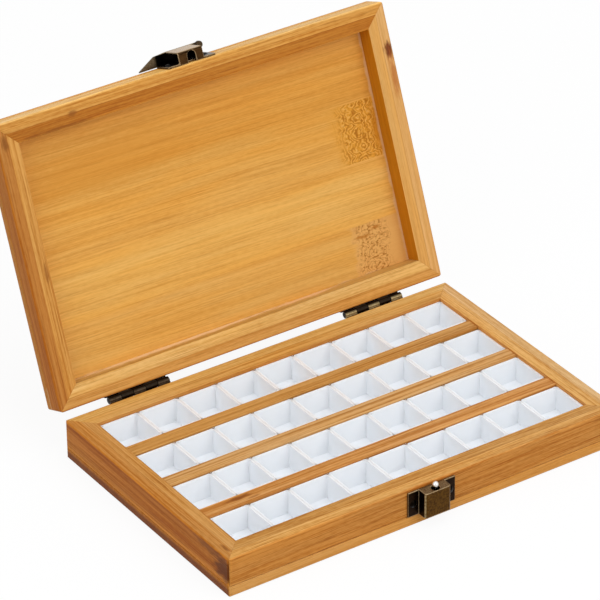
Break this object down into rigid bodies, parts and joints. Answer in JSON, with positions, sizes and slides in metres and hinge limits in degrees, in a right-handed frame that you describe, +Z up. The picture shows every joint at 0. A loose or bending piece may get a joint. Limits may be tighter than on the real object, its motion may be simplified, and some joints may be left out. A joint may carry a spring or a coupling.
{
  "type": "watercolour palette box",
  "caption": "Bamboo box with a mitred frame and hinged lid that holds rows of loose white plastic paint pans between slats, closed by a bronze snap clasp over a ball stud",
  "frame": {"origin": "centre of the underside of the bottom board, on the surface that the box stands on", "axes": "X runs along the front from left to right, Y runs from the front to the hinges at the back, Z points up"},
  "size_m": [0.196, 0.192, 0.1414],
  "materials": {
    "bamboo_frame": "satin-lacquered bamboo, lengthways grain in two glued plies",
    "bamboo_board": "satin-lacquered bamboo board, lengthways grain with node marks",
    "bamboo_slat": "satin-lacquered bamboo strip",
    "antique_brass": "dark antique-bronze plating, worn to tan at the edges",
    "bright_steel": "bright nickel-plated steel",
    "white_plastic": "white moulded polystyrene, soft gloss"
  },
  "bodies": {
    "base": {"bottom_board": "bamboo_board", "front_wall": "bamboo_frame", "back_wall": "bamboo_frame", "left_wall": "bamboo_frame", "right_wall": "bamboo_frame", "slat_1": "bamboo_slat", "slat_2": "bamboo_slat", "slat_3": "bamboo_slat", "base_hinge_leaves": "antique_brass", "hinge_pins": "antique_brass", "keeper": "antique_brass", "stud": "bright_steel", "base_hinge_nails": "antique_brass", "keeper_nails": "antique_brass"},
    "lid": {"lid_board": "bamboo_board", "lid_front_rail": "bamboo_frame", "lid_back_rail": "bamboo_frame", "lid_left_rail": "bamboo_frame", "lid_right_rail": "bamboo_frame", "lid_hinge_leaves": "antique_brass", "clasp": "antique_brass", "lid_hinge_nails": "antique_brass", "clasp_nails": "antique_brass"},
    "slide": {"clasp_slide": "antique_brass"},
    "pan_a1": {"pan_a1": "white_plastic"},
    "pan_a2": {"pan_a2": "white_plastic"},
    "pan_a3": {"pan_a3": "white_plastic"},
    "pan_a4": {"pan_a4": "white_plastic"},
    "pan_a5": {"pan_a5": "white_plastic"},
    "pan_a6": {"pan_a6": "white_plastic"},
    "pan_a7": {"pan_a7": "white_plastic"},
    "pan_a8": {"pan_a8": "white_plastic"},
    "pan_a9": {"pan_a9": "white_plastic"},
    "pan_b1": {"pan_b1": "white_plastic"},
    "pan_b2": {"pan_b2": "white_plastic"},
    "pan_b3": {"pan_b3": "white_plastic"},
    "pan_b4": {"pan_b4": "white_plastic"},
    "pan_b5": {"pan_b5": "white_plastic"},
    "pan_b6": {"pan_b6": "white_plastic"},
    "pan_b7": {"pan_b7": "white_plastic"},
    "pan_b8": {"pan_b8": "white_plastic"},
    "pan_b9": {"pan_b9": "white_plastic"},
    "pan_c1": {"pan_c1": "white_plastic"},
    "pan_c2": {"pan_c2": "white_plastic"},
    "pan_c3": {"pan_c3": "white_plastic"},
    "pan_c4": {"pan_c4": "white_plastic"},
    "pan_c5": {"pan_c5": "white_plastic"},
    "pan_c6": {"pan_c6": "white_plastic"},
    "pan_c7": {"pan_c7": "white_plastic"},
    "pan_c8": {"pan_c8": "white_plastic"},
    "pan_c9": {"pan_c9": "white_plastic"},
    "pan_d1": {"pan_d1": "white_plastic"},
    "pan_d2": {"pan_d2": "white_plastic"},
    "pan_d3": {"pan_d3": "white_plastic"},
    "pan_d4": {"pan_d4": "white_plastic"},
    "pan_d5": {"pan_d5": "white_plastic"},
    "pan_d6": {"pan_d6": "white_plastic"},
    "pan_d7": {"pan_d7": "white_plastic"},
    "pan_d8": {"pan_d8": "white_plastic"},
    "pan_d9": {"pan_d9": "white_plastic"}
  },
  "joints": [
    {"name": "lid_hinge", "type": "hinge", "parent": "base", "child": "lid", "pos_m": [0, 0.0644, 0.01837], "axis": [-1, 0, 0], "range_deg": [-111.4, 0]},
    {"name": "clasp_slide", "type": "slide", "parent": "lid", "child": "slide", "axis": [1, 0, 0], "range_m": [0, 0.002], "stiffness_N_per_m": 100, "springref_m": -0.002},
    {"name": "lift_a1", "type": "slide", "parent": "base", "child": "pan_a1", "axis": [0, 0, 1], "range_m": [0, 0.016]},
    {"name": "lift_a2", "type": "slide", "parent": "base", "child": "pan_a2", "axis": [0, 0, 1], "range_m": [0, 0.016]},
    {"name": "lift_a3", "type": "slide", "parent": "base", "child": "pan_a3", "axis": [0, 0, 1], "range_m": [0, 0.016]},
    {"name": "lift_a4", "type": "slide", "parent": "base", "child": "pan_a4", "axis": [0, 0, 1], "range_m": [0, 0.016]},
    {"name": "lift_a5", "type": "slide", "parent": "base", "child": "pan_a5", "axis": [0, 0, 1], "range_m": [0, 0.016]},
    {"name": "lift_a6", "type": "slide", "parent": "base", "child": "pan_a6", "axis": [0, 0, 1], "range_m": [0, 0.016]},
    {"name": "lift_a7", "type": "slide", "parent": "base", "child": "pan_a7", "axis": [0, 0, 1], "range_m": [0, 0.016]},
    {"name": "lift_a8", "type": "slide", "parent": "base", "child": "pan_a8", "axis": [0, 0, 1], "range_m": [0, 0.016]},
    {"name": "lift_a9", "type": "slide", "parent": "base", "child": "pan_a9", "axis": [0, 0, 1], "range_m": [0, 0.016]},
    {"name": "lift_b1", "type": "slide", "parent": "base", "child": "pan_b1", "axis": [0, 0, 1], "range_m": [0, 0.016]},
    {"name": "lift_b2", "type": "slide", "parent": "base", "child": "pan_b2", "axis": [0, 0, 1], "range_m": [0, 0.016]},
    {"name": "lift_b3", "type": "slide", "parent": "base", "child": "pan_b3", "axis": [0, 0, 1], "range_m": [0, 0.016]},
    {"name": "lift_b4", "type": "slide", "parent": "base", "child": "pan_b4", "axis": [0, 0, 1], "range_m": [0, 0.016]},
    {"name": "lift_b5", "type": "slide", "parent": "base", "child": "pan_b5", "axis": [0, 0, 1], "range_m": [0, 0.016]},
    {"name": "lift_b6", "type": "slide", "parent": "base", "child": "pan_b6", "axis": [0, 0, 1], "range_m": [0, 0.016]},
    {"name": "lift_b7", "type": "slide", "parent": "base", "child": "pan_b7", "axis": [0, 0, 1], "range_m": [0, 0.016]},
    {"name": "lift_b8", "type": "slide", "parent": "base", "child": "pan_b8", "axis": [0, 0, 1], "range_m": [0, 0.016]},
    {"name": "lift_b9", "type": "slide", "parent": "base", "child": "pan_b9", "axis": [0, 0, 1], "range_m": [0, 0.016]},
    {"name": "lift_c1", "type": "slide", "parent": "base", "child": "pan_c1", "axis": [0, 0, 1], "range_m": [0, 0.016]},
    {"name": "lift_c2", "type": "slide", "parent": "base", "child": "pan_c2", "axis": [0, 0, 1], "range_m": [0, 0.016]},
    {"name": "lift_c3", "type": "slide", "parent": "base", "child": "pan_c3", "axis": [0, 0, 1], "range_m": [0, 0.016]},
    {"name": "lift_c4", "type": "slide", "parent": "base", "child": "pan_c4", "axis": [0, 0, 1], "range_m": [0, 0.016]},
    {"name": "lift_c5", "type": "slide", "parent": "base", "child": "pan_c5", "axis": [0, 0, 1], "range_m": [0, 0.016]},
    {"name": "lift_c6", "type": "slide", "parent": "base", "child": "pan_c6", "axis": [0, 0, 1], "range_m": [0, 0.016]},
    {"name": "lift_c7", "type": "slide", "parent": "base", "child": "pan_c7", "axis": [0, 0, 1], "range_m": [0, 0.016]},
    {"name": "lift_c8", "type": "slide", "parent": "base", "child": "pan_c8", "axis": [0, 0, 1], "range_m": [0, 0.016]},
    {"name": "lift_c9", "type": "slide", "parent": "base", "child": "pan_c9", "axis": [0, 0, 1], "range_m": [0, 0.016]},
    {"name": "lift_d1", "type": "slide", "parent": "base", "child": "pan_d1", "axis": [0, 0, 1], "range_m": [0, 0.016]},
    {"name": "lift_d2", "type": "slide", "parent": "base", "child": "pan_d2", "axis": [0, 0, 1], "range_m": [0, 0.016]},
    {"name": "lift_d3", "type": "slide", "parent": "base", "child": "pan_d3", "axis": [0, 0, 1], "range_m": [0, 0.016]},
    {"name": "lift_d4", "type": "slide", "parent": "base", "child": "pan_d4", "axis": [0, 0, 1], "range_m": [0, 0.016]},
    {"name": "lift_d5", "type": "slide", "parent": "base", "child": "pan_d5", "axis": [0, 0, 1], "range_m": [0, 0.016]},
    {"name": "lift_d6", "type": "slide", "parent": "base", "child": "pan_d6", "axis": [0, 0, 1], "range_m": [0, 0.016]},
    {"name": "lift_d7", "type": "slide", "parent": "base", "child": "pan_d7", "axis": [0, 0, 1], "range_m": [0, 0.016]},
    {"name": "lift_d8", "type": "slide", "parent": "base", "child": "pan_d8", "axis": [0, 0, 1], "range_m": [0, 0.016]},
    {"name": "lift_d9", "type": "slide", "parent": "base", "child": "pan_d9", "axis": [0, 0, 1], "range_m": [0, 0.016]}
  ]
}
